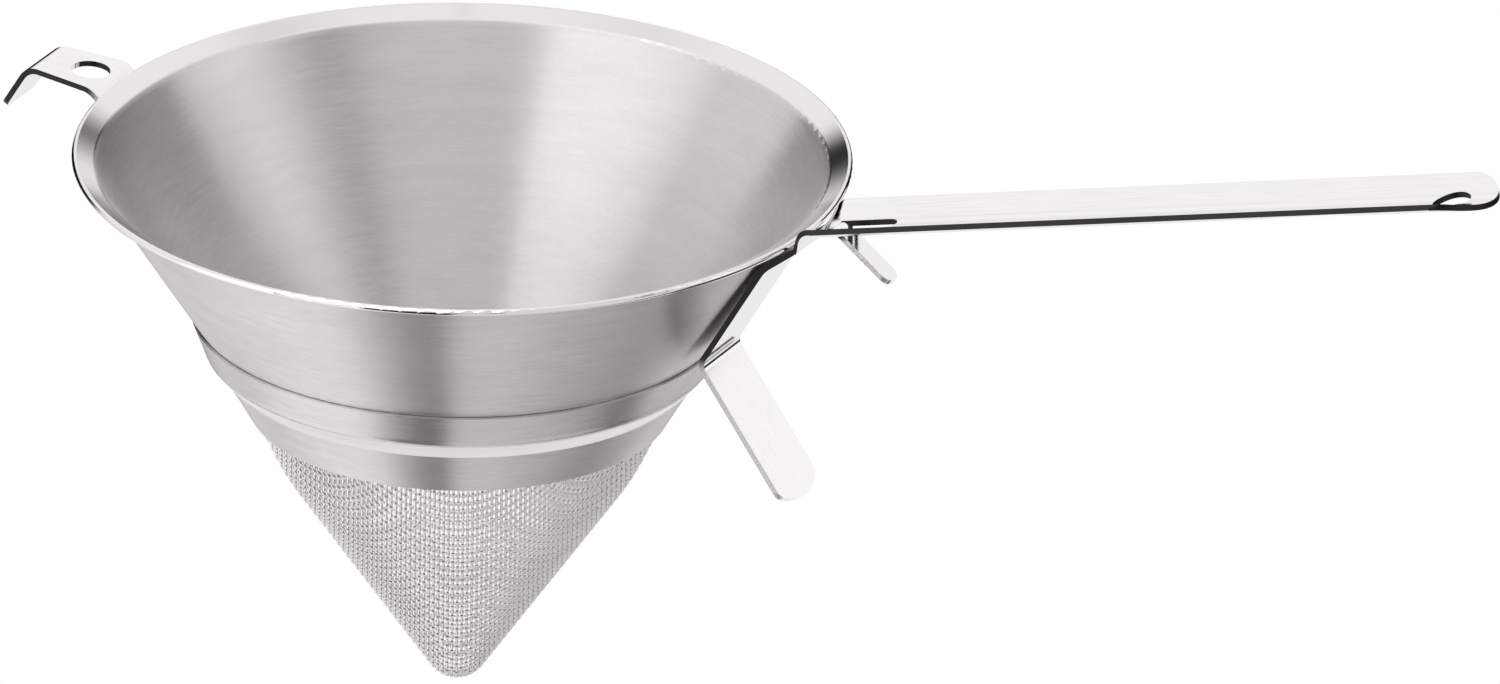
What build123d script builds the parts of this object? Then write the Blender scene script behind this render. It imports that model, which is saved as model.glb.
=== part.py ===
from build123d import *
import math
import os

# Bowl: a spun cone with a flared and rolled rim
rim_radius = 100.0
flare_width = 6.0
flare_drop = 3.6
flare_lean = 27.0
curl_radius = 0.85
curl_run_in = 2.0
throat_bend_radius = 3.1
wall_half_angle = 32.8
wall_thickness = 0.8
bowl_depth = 66.5

# Clamp ring pressed over the lower end of the bowl
ring_top_depth = 43.3
ring_thickness = 0.7
ring_fit = 0.15
ring_upper_band = 9.6
ring_shoulder_rise = 2.05
ring_shoulder_band = 6.4
ring_lower_band = 14.3
ring_lower_flare = 0.65

# Wire cloth drawn into a cone, its border caught under the ring
wire_diameter = 0.45
mesh_fit = 0.15
mesh_border_inset = 0.6
mesh_collar_length = 17.5
mesh_collar_lean = 25.2
mesh_collar_bend_radius = 60.0
mesh_tip_radius = 8.5
mesh_drop = 76.6

# Openings that stand for the gaps in the cloth: columns round the cone and rows down it
opening_columns = 12
opening_rows = 4
opening_top_drop = 3.2
opening_tip_rise = 14.0
opening_hoop = 2.6
opening_rib_share = 0.26

# Handle strip: leg, strap along the bowl, and the dished grip. Reaches are measured outward from the rim
strip_thickness = 1.5
strap_width = 20.0
strap_gap = 0.3
strap_standoff = 1.5
rim_gap = 0.3
root_rise = 38.0
strap_foot_depth = 37.9
leg_length = 43.0
leg_lean = 35.9
leg_bend_radius = 2.6
leg_end_radius = 16.0
leg_corner_radius = 3.0
handle_bend_radius = 8.75
handle_rise = 14.1
handle_width = 24.3
handle_dish = 3.4
handle_reach = 192.9
handle_knee_reach = 5.1
handle_knee_radius = 6.0
root_start_reach = 0.9
root_reach = 7.3
hanging_hole_radius = 5.0

# Tongue punched from the grip's floor and bent down beside the bowl
tongue_start = 7.8
tongue_width = 6.0
tongue_length = 18.9
tongue_lean = 52.5
tongue_bend_radius = 1.85
window_length = 17.4
punch_gap = 0.15

# Hook bracket opposite the handle
tab_depth = 27.0
hook_rise = 4.5
hook_reach = 22.0
hook_drop_length = 14.2
hook_drop_lean = 31.4
hook_root_bend_radius = 8.25
hook_knee_reach = 3.4
hook_knee_radius = 4.25
hook_bend_radius = 4.25
hook_end_width = 16.4
hook_corner_radius = 3.0
hook_hole_radius = 5.1
hook_hole_reach = 8.1

# How far cutting shapes reach past what they cut
overrun = 5.0

# Stations along the root, and how far the strip has widened and dished at each
root_station_shares = (0.0, 0.3, 0.65, 1.0)
root_form_shares = (0.0, 0.45, 0.9, 1.0)

alpha = math.radians(wall_half_angle)
mesh_thickness = 2 * wire_diameter
mesh_offset = mesh_fit + mesh_thickness / 2
mesh_to_ring = mesh_thickness / 2 + ring_fit + ring_thickness / 2
strap_offset = strap_gap + strip_thickness / 2


def lean(degrees):
    """Unit step down the page that leans outward from straight down."""
    return Vector(math.sin(math.radians(degrees)), -math.cos(math.radians(degrees)))


def rise(degrees):
    """Unit step outward that rises from level."""
    return Vector(math.cos(math.radians(degrees)), math.sin(math.radians(degrees)))


def wall_point(depth, offset):
    """Point beside the bowl's outer face: at a depth on it, then out along its normal."""
    radius = rim_radius - flare_width - (depth - flare_drop) * math.tan(alpha)
    return Vector(radius, -depth) + Vector(math.cos(alpha), -math.sin(alpha)) * offset


def slope_point(run, offset):
    """Point beside the bowl's outer face, a run down the slope from the ring's top edge."""
    return wall_point(ring_top_depth + run * math.cos(alpha), offset)


def crossing(p, p_step, q, q_step):
    """Where two lines in the profile plane meet."""
    across = p_step.X * q_step.Y - p_step.Y * q_step.X
    gap = q - p
    return p + p_step * ((gap.X * q_step.Y - gap.Y * q_step.X) / across)


def onward(p, step, reach):
    """Point along a line through p where it lies a reach outside the rim."""
    return p + step * ((rim_radius + reach - p.X) / step.X)


def spot(p):
    """Place of a profile point in space."""
    return Vector(p.X, 0, p.Y)


# Centre of the rolled edge, the step up the wall, and the line of a strip that passes under the edge
curl = Vector(rim_radius - curl_radius, -curl_radius)
wall_step = rise(90 - wall_half_angle)
root_step = rise(root_rise)
root_point = curl + lean(root_rise) * (curl_radius + rim_gap + strip_thickness / 2)


def turned(section):
    """Body turned about the strainer's axis from its half section."""
    return revolve(Plane.XZ * section, Axis.Z)


def sheet(points, radii, thickness):
    """Section of a sheet along its middle line, with the inside radius of each bend."""
    steps = [(q - p).normalized() for p, q in zip(points, points[1:])]
    normals = [Vector(-step.Y, step.X) for step in steps]
    sides = []
    for shift in (thickness / 2, -thickness / 2):
        corners = [points[0] + normals[0] * shift]
        bends = []
        for point, before, after, step, radius in zip(points[1:], normals, normals[1:], steps[1:], radii):
            corners.append(point + (before + after) * (shift / (1 + before.dot(after))))
            inside = shift * before.dot(step) > 0
            bends.append(radius if inside else radius + thickness)
        corners.append(points[-1] + normals[-1] * shift)
        sides.append(FilletPolyline(*corners, radius=bends))
    left, right = sides
    ends = [Line(left @ 0, right @ 0), Line(left @ 1, right @ 1)]
    return make_face([*left.edges(), *right.edges(), *ends])


def bent_strip(points, radii, width):
    """Strip of even thickness and width, bent along a middle line."""
    section = sheet(points, radii, strip_thickness)
    return extrude(Plane.XZ * section, amount=width / 2, both=True)


def end_waste(end, step, width, bulge_radius, corner_radius):
    """What is trimmed off to round a strip's end: a bulged end with rounded corners."""
    outline = Rectangle(2 * width, width, align=(Align.MAX, Align.CENTER))
    if bulge_radius:
        outline &= Pos(-bulge_radius, 0) * Circle(bulge_radius)
    if corner_radius:
        outline = fillet(outline.vertices().sort_by(Axis.X)[-2:], corner_radius)
    blank = Rectangle(width + overrun, width + 2 * overrun, align=(Align.MIN, Align.CENTER))
    waste = Pos(-width / 2, 0) * blank - outline
    plane = Plane(spot(end), x_dir=spot(step), z_dir=spot(Vector(-step.Y, step.X)))
    return extrude(plane * waste, amount=overrun, both=True)


def drill(point, step, radius):
    """Round hole square through a strip at a point on its middle line."""
    plane = Plane(spot(point), x_dir=spot(step), z_dir=spot(Vector(-step.Y, step.X)))
    return extrude(plane * Circle(radius), amount=overrun, both=True)


def make_funnel():
    along = rise(flare_lean)
    up = Vector(-along.Y, along.X)
    top = curl + up * curl_radius
    bottom = curl - up * curl_radius
    run_in = top - up * wall_thickness - along * curl_run_in
    lip = top - up * (wall_thickness / 2)
    foot = wall_point(bowl_depth, -wall_thickness / 2)
    throat = crossing(lip, along, foot, wall_step)
    bead = ThreePointArc(top, curl + along * curl_radius, bottom)
    rolled_edge = make_face([bead, Line(bottom, run_in), Line(run_in, top)])
    return turned(sheet([lip, throat, foot], [throat_bend_radius], wall_thickness) + rolled_edge)


# Middle line of the ring, as runs down the slope and offsets from the bowl
shoulder_run = ring_upper_band
corner_run = shoulder_run + ring_shoulder_band
foot_run = corner_run + ring_lower_band
ring_top_offset = ring_fit + ring_thickness / 2
shoulder_offset = ring_top_offset + ring_shoulder_rise
corner_offset = mesh_offset + mesh_to_ring
foot_offset = corner_offset + ring_lower_flare


def make_clamp_ring():
    top = slope_point(0, ring_top_offset)
    shoulder = slope_point(shoulder_run, shoulder_offset)
    corner = slope_point(corner_run, corner_offset)
    foot = slope_point(foot_run, foot_offset)
    return turned(sheet([top, shoulder, corner, foot], [0, 0], ring_thickness))


def make_mesh_cone():
    inset_share = mesh_border_inset / ring_shoulder_band
    border_offset = shoulder_offset + (corner_offset - shoulder_offset) * inset_share
    border = slope_point(shoulder_run + mesh_border_inset, border_offset - mesh_to_ring)
    corner = slope_point(corner_run, mesh_offset)
    foot = slope_point(foot_run, foot_offset - mesh_to_ring)
    collar = foot + lean(-mesh_collar_lean) * mesh_collar_length
    tip_radius = mesh_tip_radius - mesh_thickness / 2
    centre = Vector(0, foot.Y - mesh_drop + mesh_tip_radius)
    sight = centre - collar
    sight_angle = math.atan2(-sight.X, -sight.Y)
    half_angle = math.degrees(sight_angle - math.asin(tip_radius / sight.length))
    tip_start = centre + rise(-half_angle) * tip_radius
    side = sheet([border, corner, foot, collar, tip_start], [0, 0, mesh_collar_bend_radius], mesh_thickness)
    tip = CenterArc((centre.X, centre.Y), tip_radius, -half_angle, half_angle - 90)
    cone = turned(side + trace(tip, mesh_thickness))

    top = foot.Y - opening_top_drop
    pitch = (top + opening_hoop - centre.Y - opening_tip_rise) / opening_rows
    for row in range(opening_rows):
        upper = top - row * pitch
        lower = upper - pitch + opening_hoop
        reach = tip_start.X + (lower - tip_start.Y) * math.tan(math.radians(half_angle))
        width = 2 * reach * math.tan(math.pi / opening_columns) * (1 - opening_rib_share)
        bar = Pos(0, 0, (upper + lower) / 2) * Box(2 * rim_radius, width, upper - lower)
        turns = [Rot(0, 0, 360 / opening_columns * turn) for turn in range(opening_columns // 2)]
        cone -= [turn * bar for turn in turns]
    return cone


def trough(station, step, form):
    """Section of the grip at a station: flat strap at form 0, full dish at form 1."""
    half = (strap_width + (handle_width - strap_width) * form) / 2
    plane = Plane(spot(station), x_dir=(0, 1, 0), z_dir=spot(step))
    if form == 0:
        return plane * Rectangle(2 * half, strip_thickness)
    floor = ThreePointArc((-half, handle_dish * form), (0, 0), (half, handle_dish * form))
    return plane * trace(floor, strip_thickness)


def make_handle():
    along = rise(handle_rise)
    up = Vector(-along.Y, along.X)
    strap_foot = wall_point(strap_foot_depth, strap_offset + strap_standoff)
    bend = crossing(wall_point(flare_drop, strap_offset), wall_step, root_point, root_step)
    root = onward(bend, root_step, root_start_reach)

    leg_step = lean(leg_lean)
    leg_end = strap_foot + leg_step * leg_length
    radii = [leg_bend_radius, handle_bend_radius]
    strap = bent_strip([leg_end, strap_foot, bend, root], radii, strap_width)
    strap -= end_waste(leg_end, leg_step, strap_width, leg_end_radius, leg_corner_radius)

    knee = onward(bend, root_step, handle_knee_reach)
    grip_start = onward(knee, along, root_reach)
    path = FilletPolyline(root, knee, grip_start, radius=handle_knee_radius)
    sections = [trough(path @ s, path % s, form) for s, form in zip(root_station_shares, root_form_shares)]
    root_form = loft(sections)

    grip_end = onward(knee, along, handle_reach)
    grip = extrude(trough(grip_start, along, 1), amount=(grip_end - grip_start).length)
    grip -= end_waste(grip_end, along, handle_width, handle_width / 2, 0)
    grip -= drill(grip_end - along * (handle_width / 2), along, hanging_hole_radius)

    window_start = onward(knee, along, tongue_start)
    window_width = tongue_width + 2 * punch_gap
    slot = Rectangle(window_length - window_width / 2, window_width, align=(Align.MIN, Align.CENTER))
    slot += Pos(window_length - window_width / 2, 0) * Circle(window_width / 2)
    floor = Plane(spot(window_start), x_dir=spot(along), z_dir=spot(up))
    window = extrude(floor * slot, amount=overrun, both=True)

    tongue_turn = math.radians(90 - tongue_lean + handle_rise)
    tongue_lead = (tongue_bend_radius + strip_thickness / 2) * math.tan(tongue_turn / 2)
    tongue_bend = window_start + along * (punch_gap + tongue_lead)
    tongue_step = lean(tongue_lean)
    tongue_end = tongue_bend + tongue_step * tongue_length
    tongue = bent_strip([window_start, tongue_bend, tongue_end], [tongue_bend_radius], tongue_width)
    tongue -= end_waste(tongue_end, tongue_step, tongue_width, tongue_width / 2, 0)

    return strap + root_form + grip - window + tongue


def make_hook_bracket():
    along = rise(hook_rise)
    tab_end = wall_point(tab_depth, strap_offset)
    bend = crossing(tab_end, wall_step, root_point, root_step)
    knee = onward(bend, root_step, hook_knee_reach)
    hook_bend = onward(knee, along, hook_reach)
    drop_step = lean(hook_drop_lean)
    tip = hook_bend + drop_step * hook_drop_length
    radii = [hook_root_bend_radius, hook_knee_radius, hook_bend_radius]
    strip = bent_strip([tab_end, bend, knee, hook_bend, tip], radii, strap_width)
    strip -= end_waste(tab_end, wall_step * -1, strap_width, 0, hook_corner_radius)
    strip -= end_waste(tip, drop_step, hook_end_width, 0, hook_corner_radius)
    strip -= drill(onward(knee, along, hook_hole_reach), along, hook_hole_radius)
    side = [(knee.X, strap_width / 2), (hook_bend.X, hook_end_width / 2), (tip.X + overrun, hook_end_width / 2)]
    side += [(tip.X + overrun, strap_width), (knee.X, strap_width)]
    taper = extrude(Plane.XY * make_face(Polyline(*side, close=True)), amount=strap_width, both=True)
    strip -= [taper, mirror(taper, Plane.XZ)]
    return Rot(0, 0, 180) * strip


parts = {
    "funnel": make_funnel(),
    "clamp_ring": make_clamp_ring(),
    "mesh_cone": make_mesh_cone(),
    "handle": make_handle(),
    "hook_bracket": make_hook_bracket(),
}

os.makedirs("parts", exist_ok=True)
for name, shape in parts.items():
    export_step(shape, f"parts/{name}.step")
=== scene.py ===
import math

import bpy
import numpy as np
from mathutils import Matrix, Vector


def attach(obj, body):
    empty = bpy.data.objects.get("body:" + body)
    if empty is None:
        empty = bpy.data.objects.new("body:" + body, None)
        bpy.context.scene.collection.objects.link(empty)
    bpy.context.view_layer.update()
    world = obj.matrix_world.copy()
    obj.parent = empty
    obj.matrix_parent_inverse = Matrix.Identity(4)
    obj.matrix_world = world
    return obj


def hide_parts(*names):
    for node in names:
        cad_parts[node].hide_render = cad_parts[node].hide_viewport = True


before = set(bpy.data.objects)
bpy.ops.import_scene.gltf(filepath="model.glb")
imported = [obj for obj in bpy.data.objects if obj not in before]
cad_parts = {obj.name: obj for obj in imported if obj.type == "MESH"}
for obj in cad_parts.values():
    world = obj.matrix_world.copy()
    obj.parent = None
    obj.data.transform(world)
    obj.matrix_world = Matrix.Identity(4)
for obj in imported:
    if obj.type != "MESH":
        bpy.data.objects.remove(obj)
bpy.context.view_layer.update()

MM = 0.001

# Camera, at the photograph's angle
AZIMUTH = math.radians(27.5)
ELEVATION = math.radians(23.3)
ROLL = math.radians(0.65)
DISTANCE = 8.19
FOCAL_PX = 32000
SENSOR_WIDTH = 36.0
CLIP_START, CLIP_END = 1.0, 60.0
IMAGE = (1500.0, 684.0)
RIM_CENTRE_PX = (462.3, 154.6)

# Wire cloth, in mm: the CAD cone's middle surface, from the same sizes as the part's source
RIM_RADIUS, FLARE_WIDTH, FLARE_DROP, HALF_ANGLE = 100.0, 6.0, 3.6, math.radians(32.8)
RING_TOP_DEPTH, UPPER_BAND, SHOULDER_BAND, LOWER_BAND = 43.3, 9.6, 6.4, 14.3
WIRE, FIT, LOWER_FLARE = 0.45, 0.15, 0.65
COLLAR_LENGTH, COLLAR_LEAN, COLLAR_BEND = 17.5, math.radians(25.2), 60.0
TIP_RADIUS, MESH_DROP = 8.5, 76.6
TIP_POINTS, BEND_POINTS = 40, 24

# The weave: wire pitch in mm, wire width over its height, points per pitch, sides of a wire
PITCH = 1.228
FLATNESS = 1.42
STEPS, SIDES = 4, 6

# Where each finish, and each painted dark or painted bright edge of the strips, fades from 0 to 1,
# in metres
LIP_RADII = (0.0936, 0.0946)
LIP_HEIGHTS = (-0.0052, -0.0042)
SHOULDER_TOP, SHOULDER_FOOT, SHOULDER_FADE = -0.0527, -0.0577, 0.0002
GRIP_END_X = (0.2595, 0.2605)
TONGUE_X = (0.1055, 0.1065)
BELOW_GRIP = (-0.0255, -0.027)
LEG_HEIGHTS = (-0.037, -0.041)
TAB_X = (-0.104, -0.099)
GRIP_RISE = math.radians(14.1)

# Rounds along the ring: height, half width, rise, in metres
PRESSED = (
    (SHOULDER_TOP + 0.0004, 0.0011, 0.00022),
    (SHOULDER_FOOT + 0.0020, 0.0024, 0.00012),
)

# Brush lines on spun sheet: waves round the axis, waves per metre of height, noise detail
BRUSH = ((16, 3600, 2), (6, 1100, 3), (2.5, 260, 2))

# Darkest and lightest colour of each steel; the strip's darkest is its painted dark edges, the
# wire's darkest its painted shade
SPUN_COLOURS = (0.6, 0.577, 0.57), (0.85, 0.82, 0.81)
STRIP_PAINTED_EDGE_AND_OWN_COLOURS = (0.02, 0.02, 0.02), (0.95, 0.935, 0.93)
WIRE_PAINTED_SHADE_AND_OWN_COLOURS = (0.16, 0.152, 0.15), (1.0, 0.975, 0.965)
# How far the painted shade between close wires reaches, in metres
WIRE_PAINTED_SHADE_REACH = 0.0009

# The studio's light between its cards, what that and the cards are scaled by, and the backdrop
STUDIO_LEVEL, STUDIO_STRENGTH, BACKDROP = 0.98, 0.8, 1.0

# The studio's cards, in degrees: azimuth from the camera (right is positive), half width,
# elevation, half height, soft edge, then level. A later card lies over an earlier one.
CARDS = (
    (-58, 30, 42, 42, 1.5, 1.9),
    (-112, 24, 40, 38, 12, 1.2),
    (50, 11, 42, 34, 7, 0.5),
    (84, 13, 38, 34, 7, 1.5),
    (180, 50, 32, 24, 6, 1.2),
    (0, 180, 88, 22, 8, 1.2),
    (132, 28, 2, 22, 5, 0.0),
    (-147, 18, 2, 20, 4, 0.0),
    (-75, 33, -45, 38, 12, 1.5),
    (-23, 16, -45, 44, 4, 0.0),
    (87, 19, -42, 38, 5, 0.0),
    (170, 45, -52, 26, 10, 1.1),
    (-178, 24, -9, 11, 2, 0.0),
)

# Floor, and a small white card low beside the strainer for the rest leg to reflect, in metres
FLOOR_REACH, FLOOR_HEIGHT = 40, -0.32
LEG_CARD = (
    (0.215, 0.075, -0.055),
    (0.115, 0.175, -0.055),
    (0.115, 0.175, 0.006),
    (0.215, 0.075, 0.006),
)


def camera():
    """A long lens aimed so that the rim's centre falls where it does in the photograph."""
    data = bpy.data.cameras.new("camera")
    cam = bpy.data.objects.new("camera", data)
    bpy.context.scene.collection.objects.link(cam)
    bpy.context.scene.camera = cam
    data.sensor_width = SENSOR_WIDTH
    data.lens = FOCAL_PX / IMAGE[0] * data.sensor_width
    back = Vector((
        math.sin(AZIMUTH) * math.cos(ELEVATION),
        -math.cos(AZIMUTH) * math.cos(ELEVATION),
        math.sin(ELEVATION),
    ))
    ray = Vector((
        (RIM_CENTRE_PX[0] - IMAGE[0] / 2) / FOCAL_PX,
        (IMAGE[1] / 2 - RIM_CENTRE_PX[1]) / FOCAL_PX,
        -1.0,
    ))
    look = (-back).to_track_quat("-Z", "Y")
    roll = Matrix.Rotation(ROLL, 3, "Z").to_quaternion()
    turn = ray.normalized().rotation_difference(Vector((0, 0, -1)))
    cam.rotation_mode = "QUATERNION"
    cam.rotation_quaternion = look @ roll @ turn
    cam.location = back * DISTANCE
    data.clip_start, data.clip_end = CLIP_START, CLIP_END


def slope(run, offset):
    """Radius and height in mm: run down the bowl's wall from the ring's top, offset outward."""
    depth = RING_TOP_DEPTH + run * math.cos(HALF_ANGLE)
    r = RIM_RADIUS - FLARE_WIDTH - (depth - FLARE_DROP) * math.tan(HALF_ANGLE)
    outward = np.array((math.cos(HALF_ANGLE), -math.sin(HALF_ANGLE)))
    return np.array((r, -depth)) + outward * offset


def cloth_profile():
    """Radii and heights along the cloth's middle surface, from the tip up to its border."""
    thickness = 2 * WIRE
    offset = FIT + thickness / 2
    foot_offset = offset + LOWER_FLARE
    run = UPPER_BAND + SHOULDER_BAND
    corner = slope(run, offset)
    foot = slope(run + LOWER_BAND, foot_offset)
    lean = np.array((-math.sin(COLLAR_LEAN), -math.cos(COLLAR_LEAN)))
    collar = foot + COLLAR_LENGTH * lean
    tip_radius = TIP_RADIUS - thickness / 2
    centre = np.array((0.0, foot[1] - MESH_DROP + TIP_RADIUS))
    sight = centre - collar
    half = math.atan2(-sight[0], -sight[1]) - math.asin(tip_radius / np.hypot(*sight))
    turn = np.linspace(-math.pi / 2, -half, TIP_POINTS)
    points = [centre + tip_radius * np.array((math.cos(a), math.sin(a))) for a in turn]
    # The soft bend between the cone and its collar
    radius = COLLAR_BEND + thickness / 2
    lead = radius * math.tan((half - COLLAR_LEAN) / 2)
    start = collar + lead * np.array((-math.sin(half), -math.cos(half)))
    middle = start + radius * np.array((-math.cos(half), math.sin(half)))
    for a in np.linspace(half, COLLAR_LEAN, BEND_POINTS):
        points.append(middle + radius * np.array((math.cos(a), -math.sin(a))))
    points += [foot, corner]
    return np.array(points)


def crimped_wire(family, index, ticks, shell, slopes):
    """One wire's rings of points in mm, swinging over and under the wires that it crosses."""
    radii, heights = shell[:, 0], shell[:, 1]
    across = index * PITCH
    t = np.arange(-ticks, ticks + 1) / STEPS
    along = t * PITCH
    still = np.full_like(along, across)
    flat = np.stack((still, along) if family == 0 else (along, still), 1)
    r = np.hypot(along, across)
    z = np.interp(r, radii, heights)
    dz = np.interp(r, radii, slopes)
    safe = np.maximum(r, 1e-6)
    normal = np.column_stack((flat / safe[:, None] * dz[:, None], -np.ones_like(r)))
    normal /= np.linalg.norm(normal, axis=1)[:, None]
    swing = (1 if family == 0 else -1) * (-1) ** index * np.cos(math.pi * t)
    centre = np.column_stack((flat, z)) + normal * (swing * WIRE / 2)[:, None]
    step = np.gradient(centre, axis=0)
    step /= np.linalg.norm(step, axis=1)[:, None]
    side = np.cross(step, normal)
    side /= np.linalg.norm(side, axis=1)[:, None]
    up = np.cross(side, step)
    ring = np.arange(SIDES) * 2 * math.pi / SIDES
    wide = FLATNESS * np.cos(ring)[None, :, None] * side[:, None]
    high = np.sin(ring)[None, :, None] * up[:, None]
    return (centre[:, None] + WIRE / 2 * (wide + high)).reshape(-1, 3)


def weave(name, family, shell, keep):
    """One family's wires as one mesh: 0 is the warp, 1 the weft, and keep picks the wires."""
    reach = shell[-1, 0]
    slopes = np.gradient(shell[:, 1], shell[:, 0])
    count = int(reach / PITCH)
    around = np.arange(SIDES)[None]
    verts, faces, base = [], [], 0
    for i in range(-count, count + 1):
        half = math.sqrt(max(reach ** 2 - (i * PITCH) ** 2, 0))
        ticks = int(half / PITCH * STEPS)
        if ticks < STEPS or not keep(i):
            continue
        tube = crimped_wire(family, i, ticks, shell, slopes)
        starts = base + np.arange(2 * ticks)[:, None] * SIDES
        a = starts + around
        b = starts + (around + 1) % SIDES
        faces.append(np.stack((a, b, b + SIDES, a + SIDES), 2).reshape(-1, 4))
        verts.append(tube)
        base += len(tube)
    verts, faces = np.concatenate(verts) * MM, np.concatenate(faces)
    c, s = math.cos(AZIMUTH), math.sin(AZIMUTH)
    verts[:, :2] = verts[:, :2] @ np.array(((c, s), (-s, c)))
    mesh = bpy.data.meshes.new(name)
    mesh.vertices.add(len(verts))
    mesh.vertices.foreach_set("co", verts.ravel())
    mesh.loops.add(faces.size)
    mesh.loops.foreach_set("vertex_index", faces.ravel())
    mesh.polygons.add(len(faces))
    mesh.polygons.foreach_set("loop_start", np.arange(0, faces.size, 4))
    mesh.polygons.foreach_set("use_smooth", np.ones(len(faces), dtype=bool))
    mesh.update(calc_edges=True)
    mesh.validate()
    ob = bpy.data.objects.new(name, mesh)
    bpy.context.scene.collection.objects.link(ob)
    return ob


class Graph:
    """Short calls that add nodes to one node tree and return their output sockets."""

    def __init__(self, tree):
        self.tree = tree

    def add(self, kind, inputs=(), out=0, **settings):
        node = self.tree.nodes.new(kind)
        for key, value in settings.items():
            setattr(node, key, value)
        pairs = inputs.items() if isinstance(inputs, dict) else enumerate(inputs)
        for key, value in pairs:
            if isinstance(value, bpy.types.NodeSocket):
                self.tree.links.new(value, node.inputs[key])
            else:
                node.inputs[key].default_value = value
        return node.outputs[out] if node.outputs else None

    def math(self, operation, *values):
        return self.add("ShaderNodeMath", values, operation=operation)

    def vector(self, operation, *values, out=0):
        return self.add("ShaderNodeVectorMath", values, out, operation=operation)

    def axis(self, vector, letter):
        return self.add("ShaderNodeSeparateXYZ", (vector,), letter)

    def ramp(self, value, low, high, to_low=0.0, to_high=1.0, smooth=True):
        """Value mapped from low..high to to_low..to_high, held at both ends."""
        kind = "SMOOTHSTEP" if smooth else "LINEAR"
        inputs = (value, low, high, to_low, to_high)
        return self.add("ShaderNodeMapRange", inputs, interpolation_type=kind)

    def noise(self, vector, scale, detail=2.0, roughness=0.5):
        inputs = {"Vector": vector, "Scale": scale, "Detail": detail, "Roughness": roughness}
        return self.add("ShaderNodeTexNoise", inputs)

    def mix(self, factor, a, b):
        return self.math("ADD", a, self.math("MULTIPLY", factor, self.math("SUBTRACT", b, a)))

    def tint(self, factor, a, b):
        """The Mix node's colour inputs are its sockets 6 and 7, and its colour output is 2."""
        inputs = {"Factor": factor, 6: (*a, 1), 7: (*b, 1)}
        return self.add("ShaderNodeMix", inputs, 2, data_type="RGBA")

    def bump(self, strength, distance, height, **inputs):
        inputs = {"Strength": strength, "Distance": distance, "Height": height, **inputs}
        return self.add("ShaderNodeBump", inputs)


def metal(name):
    """A bare metal material: the material, its graph and its shader."""
    mat = bpy.data.materials.new(name)
    mat.use_nodes = True
    shader = mat.node_tree.nodes["Principled BSDF"]
    shader.inputs["Metallic"].default_value = 1.0
    return mat, Graph(mat.node_tree), shader


def join(graph, shader, **sockets):
    """Links values to the shader's sockets, named with _ for a space."""
    for key, value in sockets.items():
        graph.tree.links.new(value, shader.inputs[key.replace("_", " ")])


def spun_steel(name, polish, pressed=()):
    """Sheet brushed in circles round the axis; polish(graph, r, z) is 1 where it is buffed bright.

    Each pressed line is a soft round: its height, half width and rise, in metres.
    """
    mat, g, shader = metal(name)
    place = g.add("ShaderNodeTexCoord", out="Object")
    flat = g.vector("MULTIPLY", place, (1, 1, 0))
    r = g.vector("LENGTH", flat, out="Value")
    z = g.axis(place, "Z")
    round_ = g.vector("NORMALIZE", flat)
    lines = []
    for turns, per_metre, detail in BRUSH:
        around = g.vector("MULTIPLY", round_, (turns, turns, turns))
        up = g.add("ShaderNodeCombineXYZ", (0.0, 0.0, g.math("MULTIPLY", z, per_metre)))
        lines.append(g.noise(g.vector("ADD", around, up), 1.0, detail, 0.6))
    fine, middle, broad = lines
    brush = g.math("ADD", g.math("MULTIPLY", fine, 0.55), g.math("MULTIPLY", middle, 0.45))
    cloud = g.noise(place, 42.0, 3)
    buffed = polish(g, r, z)
    # Colour and gloss: brush lines and soft clouds, both nearly gone where it is buffed
    shade = g.mix(0.35, brush, g.mix(0.5, broad, cloud))
    shade = g.mix(g.math("MULTIPLY", buffed, 0.85), shade, 0.95)
    colour = g.tint(g.ramp(shade, 0.28, 0.75, smooth=False), *SPUN_COLOURS)
    rough = g.mix(buffed, g.ramp(brush, 0.3, 0.7, 0.3, 0.42, smooth=False), 0.12)
    # Relief: the lines, the clouds and the pressed rounds
    kept = g.math("SUBTRACT", 1.0, g.math("MULTIPLY", buffed, 0.9))
    height = g.math("ADD", g.math("MULTIPLY", brush, kept), g.math("MULTIPLY", cloud, 0.5))
    bump = g.bump(0.32, 0.00006, height)
    for at, width, lift in pressed:
        crown = g.ramp(g.math("ABSOLUTE", g.math("SUBTRACT", z, at)), width, 0.0)
        bump = g.bump(1.0, lift, crown, Normal=bump)
    shader.inputs["Anisotropic"].default_value = 0.97
    shader.inputs["Anisotropic Rotation"].default_value = 0.25
    tangent = g.add("ShaderNodeTangent", direction_type="RADIAL", axis="Z")
    join(g, shader, Base_Color=colour, Roughness=rough, Normal=bump, Tangent=tangent)
    return mat


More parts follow.
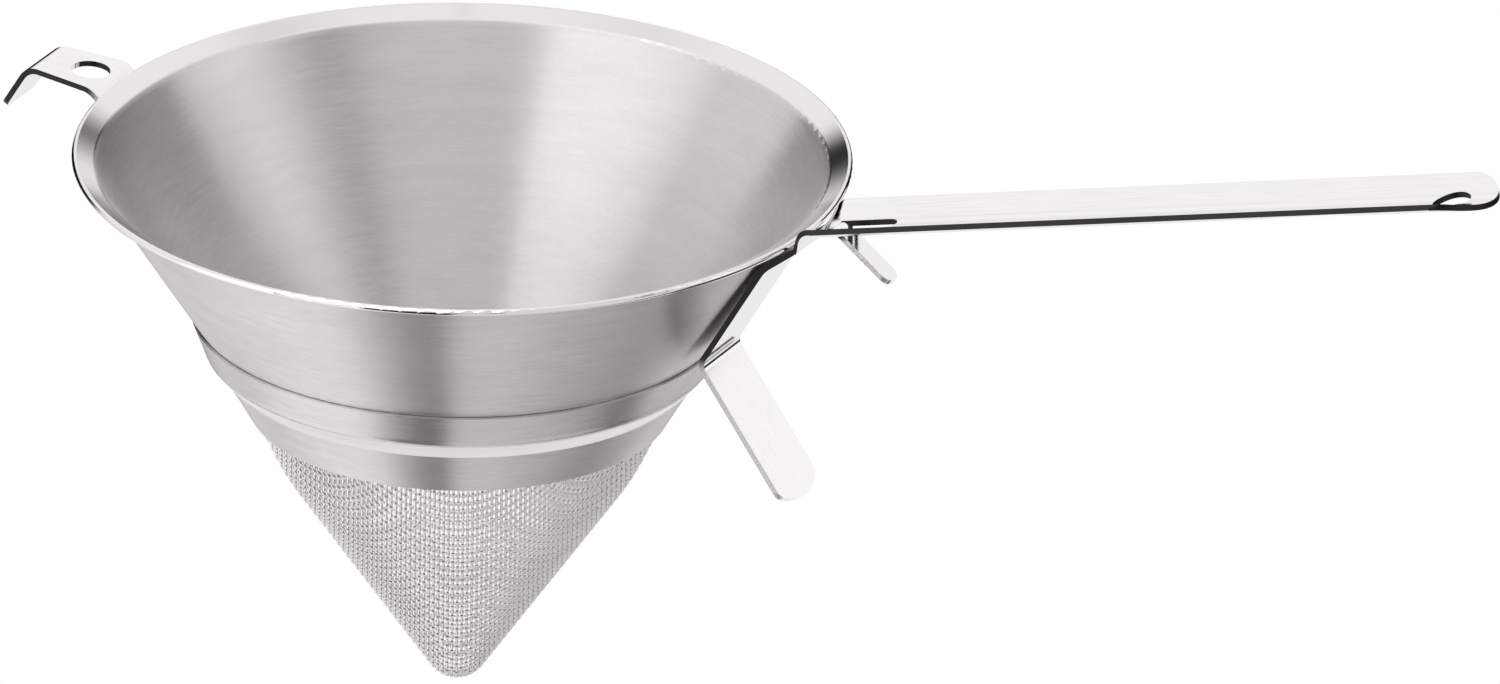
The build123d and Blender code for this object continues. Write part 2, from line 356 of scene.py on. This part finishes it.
def strip_steel(name, edge, soft):
    """Polished strip: faint scratches and soft waves.

    Where edge is 1 it is sheared, painted dark as a painted dark reflection, and dull; where soft
    is 1 as well it is painted bright, a painted highlight.
    """
    mat, g, shader = metal(name)
    place = g.add("ShaderNodeTexCoord", out="Object")
    normal = g.add("ShaderNodeNewGeometry", out="Normal")
    # Mask of the edges whose colour is painted dark, a painted dark reflection
    painted_dark_edge_mask = edge(g, place, normal)
    scratch = g.noise(g.vector("MULTIPLY", place, (60, 1900, 260)), 1.0, 3, 0.6)
    wave = g.noise(place, 38.0, 1)
    grain = g.noise(g.vector("MULTIPLY", place, (1800, 1800, 5200)), 1.0, 2)
    # Edge tone: nearly black for the painted dark reflection, brighter for the painted highlight
    # on the leg's, tongue's and tab's edges
    dark, light = g.math("MULTIPLY", grain, 0.03), g.math("MULTIPLY", grain, 1.2)
    painted_edge_tone = g.mix(soft(g, place), dark, light)
    tone = g.mix(painted_dark_edge_mask, g.ramp(scratch, 0.3, 0.7, 0.93, 1.0, smooth=False), painted_edge_tone)
    colour = g.tint(tone, *STRIP_PAINTED_EDGE_AND_OWN_COLOURS)
    rough = g.mix(painted_dark_edge_mask, g.ramp(scratch, 0.3, 0.7, 0.06, 0.12, smooth=False), 0.4)
    join(g, shader, Base_Color=colour, Roughness=rough, Normal=g.bump(0.12, 0.00012, wave))
    return mat


def wire_steel(name):
    """Bright drawn wire with painted shade where its neighbours are close, and a little uneven
    along it.
    """
    mat, g, shader = metal(name)
    place = g.add("ShaderNodeTexCoord", out="Object")
    drawn = g.noise(place, 900.0, 2)
    patch = g.noise(place, 60.0, 3)
    # Painted shade: ambient occlusion darkens the wires where they cross and lie close
    reach = {"Distance": WIRE_PAINTED_SHADE_REACH}
    painted_shade_openness = g.add("ShaderNodeAmbientOcclusion", reach, "AO", samples=6)
    uneven = g.ramp(g.mix(0.5, drawn, patch), 0.3, 0.7, 0.85, 1.0)
    colour = g.tint(g.math("MULTIPLY", g.ramp(painted_shade_openness, 0.25, 0.7), uneven), *WIRE_PAINTED_SHADE_AND_OWN_COLOURS)
    rough = g.ramp(patch, 0.3, 0.7, 0.26, 0.38, smooth=False)
    join(g, shader, Base_Color=colour, Roughness=rough, Normal=g.bump(0.1, 0.00003, drawn))
    return mat


def rim_polish(g, r, z):
    """The flared lip and the rolled edge are buffed bright."""
    return g.math("MULTIPLY", g.ramp(r, *LIP_RADII), g.ramp(z, *LIP_HEIGHTS))


def shoulder_polish(g, r, z):
    """The pressed shoulder of the ring is buffed bright."""
    above = g.ramp(z, SHOULDER_FOOT - SHOULDER_FADE, SHOULDER_FOOT + SHOULDER_FADE)
    below = g.ramp(z, SHOULDER_TOP + SHOULDER_FADE, SHOULDER_TOP - SHOULDER_FADE)
    return g.math("MULTIPLY", above, below)


def grip_normal():
    """The direction square to the grip's floor."""
    return -math.sin(GRIP_RISE), 0, math.cos(GRIP_RISE)


def handle_painted_dark_edges(g, place, normal):
    """Where the strip was sheared, painted dark as a painted dark reflection: its long sides, and
    the end of the grip.
    """
    side = g.ramp(g.math("ABSOLUTE", g.axis(normal, "Y")), 0.62, 0.72)
    lies = g.math("ABSOLUTE", g.vector("DOT_PRODUCT", normal, grip_normal(), out="Value"))
    end = g.math("MULTIPLY", g.ramp(g.axis(place, "X"), *GRIP_END_X), g.ramp(lies, 0.78, 0.7))
    return g.math("MAXIMUM", side, end)


def handle_painted_bright_edges(g, place):
    """The leg's and the tongue's edges, painted bright: a painted highlight."""
    level = g.vector("DOT_PRODUCT", place, grip_normal(), out="Value")
    beyond = g.ramp(g.axis(place, "X"), *TONGUE_X)
    tongue = g.math("MULTIPLY", g.ramp(level, *BELOW_GRIP), beyond)
    return g.math("MAXIMUM", tongue, g.ramp(g.axis(place, "Z"), *LEG_HEIGHTS))


def hook_painted_dark_edges(g, place, normal):
    """Where the strip was sheared, painted dark as a painted dark reflection: its long sides."""
    return g.ramp(g.math("ABSOLUTE", g.axis(normal, "Y")), 0.35, 0.5)


def hook_painted_bright_edges(g, place):
    """The tab's edges, on the bowl, painted bright: a painted highlight."""
    return g.ramp(g.axis(place, "X"), *TAB_X)


def studio():
    """Soft light from all round with the brighter and darker cards, white behind the object."""
    world = bpy.data.worlds.new("studio")
    bpy.context.scene.world = world
    world.use_nodes = True
    g = Graph(world.node_tree)
    world.node_tree.nodes.clear()
    ray = g.add("ShaderNodeTexCoord", out="Generated")
    flat = g.vector("NORMALIZE", g.vector("MULTIPLY", ray, (1, 1, 0)))
    climb = g.math("ARCSINE", g.axis(ray, "Z"))
    light = STUDIO_LEVEL
    for azimuth, width, elevation, height, edge, level in CARDS:
        turn = math.radians(azimuth) + AZIMUTH - math.pi / 2
        aim = (math.cos(turn), math.sin(turn), 0)
        aside = g.math("ARCCOSINE", g.vector("DOT_PRODUCT", flat, aim, out="Value"))
        above = g.math("ABSOLUTE", g.math("SUBTRACT", climb, math.radians(elevation)))
        w, h, e = math.radians(width), math.radians(height), math.radians(edge)
        inside = g.math("MULTIPLY", g.ramp(aside, w + e, w - e), g.ramp(above, h + e, h - e))
        light = g.mix(inside, light, level)
    seen = g.add("ShaderNodeLightPath", out="Is Camera Ray")
    strength = g.mix(seen, g.math("MULTIPLY", light, STUDIO_STRENGTH), BACKDROP)
    inputs = {"Color": (1, 1, 1, 1), "Strength": strength}
    g.add("ShaderNodeOutputWorld", {"Surface": g.add("ShaderNodeBackground", inputs)})


def plane(name, corners):
    """A flat piece of four corners: the object, and the graph of its empty material."""
    mesh = bpy.data.meshes.new(name)
    mesh.from_pydata(corners, [], [(0, 1, 2, 3)])
    ob = bpy.data.objects.new(name, mesh)
    bpy.context.scene.collection.objects.link(ob)
    mat = bpy.data.materials.new(name)
    mat.use_nodes = True
    mat.node_tree.nodes.clear()
    mesh.materials.append(mat)
    return ob, Graph(mat.node_tree)


camera()
studio()

# The woven cloth replaces the cone's plain solid
shell = cloth_profile()
wire = wire_steel("wire_cloth")
wires = []
for family, tag in enumerate(("warp", "weft")):
    for side, keep in (("left", lambda i: i < 0), ("right", lambda i: i >= 0)):
        ob = weave(f"cloth_{tag}_{side}", family, shell, keep)
        ob.data.materials.append(wire)
        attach(ob, "root")
        wires.append(ob)
for ob in wires:
    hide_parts("mesh_cone")

# The other pieces are the CAD solids with their finishes, the strips with painted dark and painted
# bright edges
finishes = {
    "funnel": spun_steel("bowl_steel", rim_polish),
    "clamp_ring": spun_steel("ring_steel", shoulder_polish, PRESSED),
    "handle": strip_steel("handle_steel", handle_painted_dark_edges, handle_painted_bright_edges),
    "hook_bracket": strip_steel("hook_steel", hook_painted_dark_edges, hook_painted_bright_edges),
}
for node, mat in finishes.items():
    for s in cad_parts[node].material_slots:
        s.material = mat

# The floor is white to the camera, pale to the object's light and clear from below
sides = ((-1, -1), (1, -1), (1, 1), (-1, 1))
floor, g = plane("floor", [(x * FLOOR_REACH, y * FLOOR_REACH, FLOOR_HEIGHT) for x, y in sides])
floor.visible_glossy = False
pale = g.add("ShaderNodeBsdfDiffuse", {"Color": (0.9, 0.9, 0.9, 1)})
white = g.add("ShaderNodeEmission", {"Strength": 1.0})
clear = g.add("ShaderNodeBsdfTransparent")
seen = g.add("ShaderNodeLightPath", out="Is Camera Ray")
shown = g.add("ShaderNodeMixShader", (seen, pale, white))
under = g.add("ShaderNodeNewGeometry", out="Backfacing")
g.add("ShaderNodeOutputMaterial", {"Surface": g.add("ShaderNodeMixShader", (under, shown, clear))})

card, g = plane("leg_card", LEG_CARD)
card.visible_camera = False
card.visible_shadow = False
glow = g.add("ShaderNodeEmission", {"Strength": 1.0})
g.add("ShaderNodeOutputMaterial", {"Surface": glow})

bpy.context.scene.view_settings.view_transform = "Standard"
